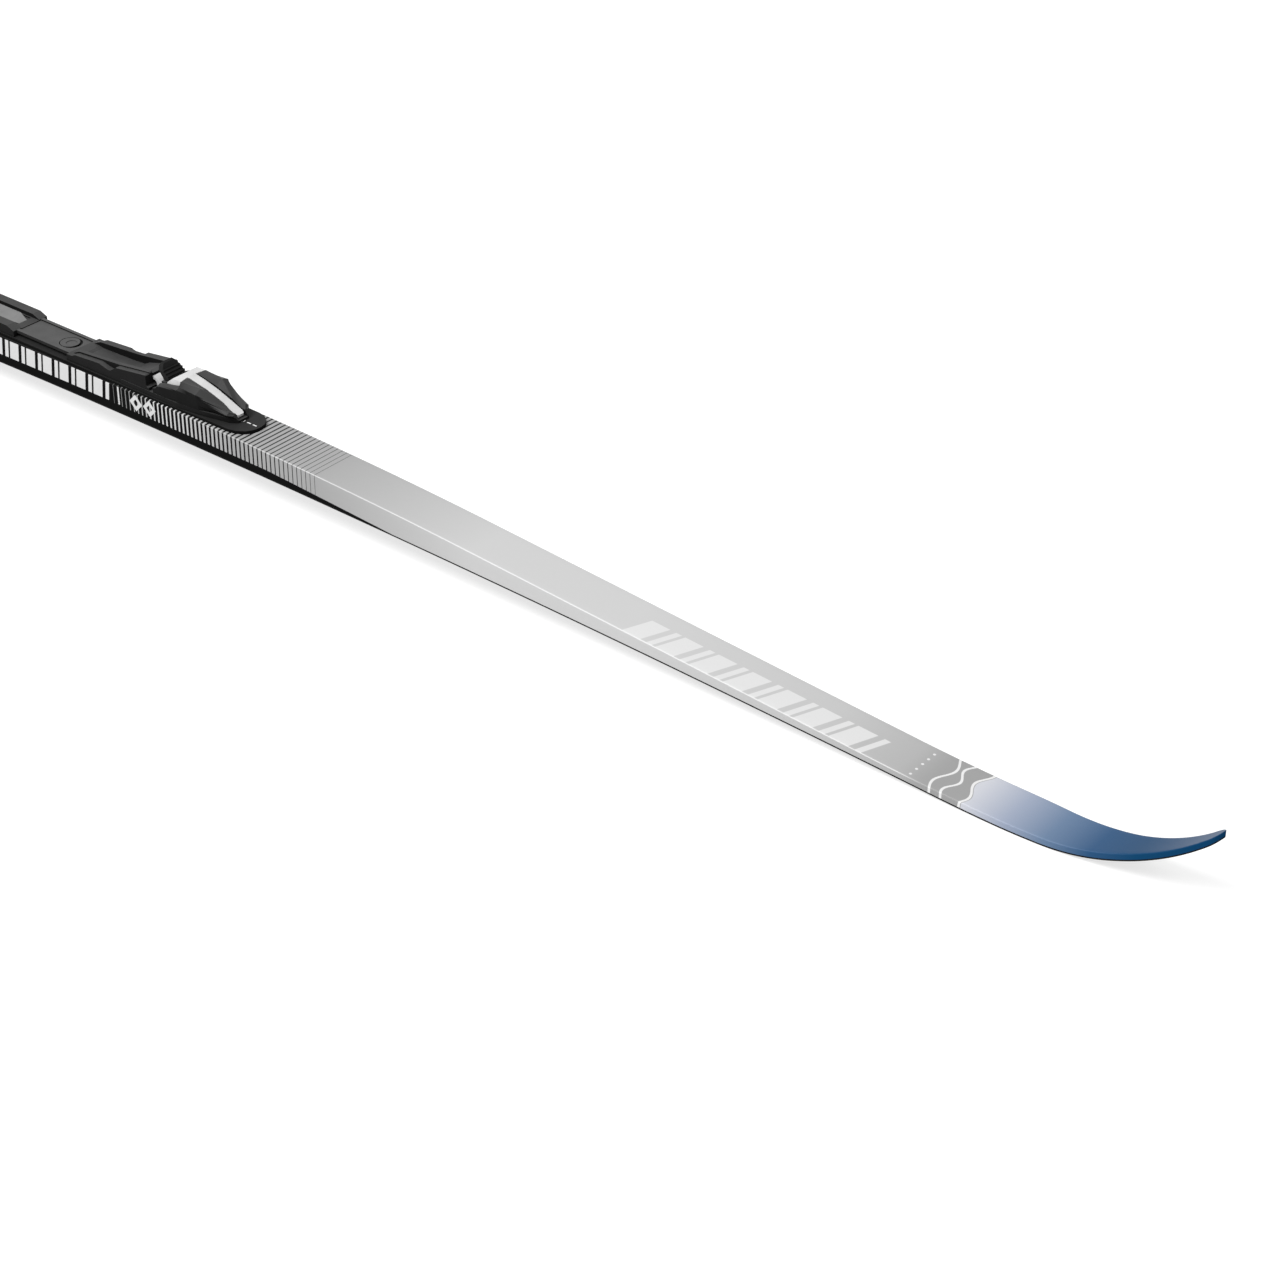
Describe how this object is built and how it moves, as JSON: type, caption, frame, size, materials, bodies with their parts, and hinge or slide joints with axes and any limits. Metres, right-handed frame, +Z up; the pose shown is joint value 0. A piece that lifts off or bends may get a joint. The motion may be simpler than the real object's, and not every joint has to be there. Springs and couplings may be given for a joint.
{
  "type": "cross country ski",
  "caption": "Classic cross country ski with upturned spear tip, printed cap and a sliding toe binding with lever, jaw, rubber flexor and heel plate.",
  "frame": {"origin": "on the floor under the middle of the ski's length, between its side walls, with the ski resting on its two contact zones", "axes": "+X along the ski towards the tip, +Y to the left across the ski, +Z up out of the top face"},
  "size_m": [2.06, 0.048, 0.0845],
  "materials": {
    "base_black": "sintered, waxed satin",
    "laminate": "cured glass and carbon laminate",
    "core_wood": "sawn",
    "spacer_grey": "moulded",
    "cap_print": "printed satin lacquer",
    "binding_black": "fine moulded texture",
    "binding_grey": "fine moulded texture",
    "pad_grey": "fine moulded texture",
    "lever_white": "satin",
    "flexor_rubber": "moulded",
    "steel": "zinc plated",
    "steel_dark": "blackened"
  },
  "bodies": {
    "ski": {"running_base": "base_black", "base_laminate": "laminate", "core": "core_wood", "tip_spacer": "spacer_grey", "tail_spacer": "spacer_grey", "top_laminate": "laminate", "binding_reinforcement": "laminate", "cap_shell": "cap_print", "mounting_plate": "binding_black", "plate_screws": "steel"},
    "toe_unit": {"toe_chassis": "binding_black", "toe_housing": "binding_black", "foot_plate": "binding_black", "foot_plate_screws": "steel", "link_strap": "binding_grey", "heel_plate": "binding_black", "heel_pad": "pad_grey", "lever_pins": "steel_dark", "flexor_pins": "steel_dark", "jaw_spring": "steel"},
    "lever": {"release_lever": "lever_white"},
    "jaw": {"jaw_slide": "lever_white", "spring_guide_rod": "steel"},
    "flexor_block": {"flexor": "flexor_rubber", "flexor_carrier": "binding_black"},
    "latch": {"position_latch": "binding_grey"}
  },
  "joints": [
    {"name": "position_slide", "type": "slide", "parent": "ski", "child": "toe_unit", "axis": [1, 0, 0], "range_m": [0, 0.014]},
    {"name": "lever_lift", "type": "hinge", "parent": "toe_unit", "child": "lever", "pos_m": [-0.0275, 0, 0.0629], "axis": [0, -1, 0], "range_deg": [0, 40]},
    {"name": "jaw_travel", "type": "slide", "parent": "toe_unit", "child": "jaw", "axis": [1, 0, 0], "range_m": [0, 0.006], "deforming": ["jaw_spring"]},
    {"name": "flexor_flex", "type": "hinge", "parent": "toe_unit", "child": "flexor_block", "pos_m": [-0.038, 0, 0.0629], "axis": [0, 1, 0], "range_deg": [0, 10], "stiffness_Nm_per_rad": 3},
    {"name": "latch_lift", "type": "hinge", "parent": "toe_unit", "child": "latch", "pos_m": [-0.19015, 0, 0.0589], "axis": [0, -1, 0], "range_deg": [0, 10], "stiffness_Nm_per_rad": 0.3}
  ],
  "couplings": [
    {"joint": "jaw_travel", "follows": "lever_lift", "m_per_rad": 0.0085}
  ]
}
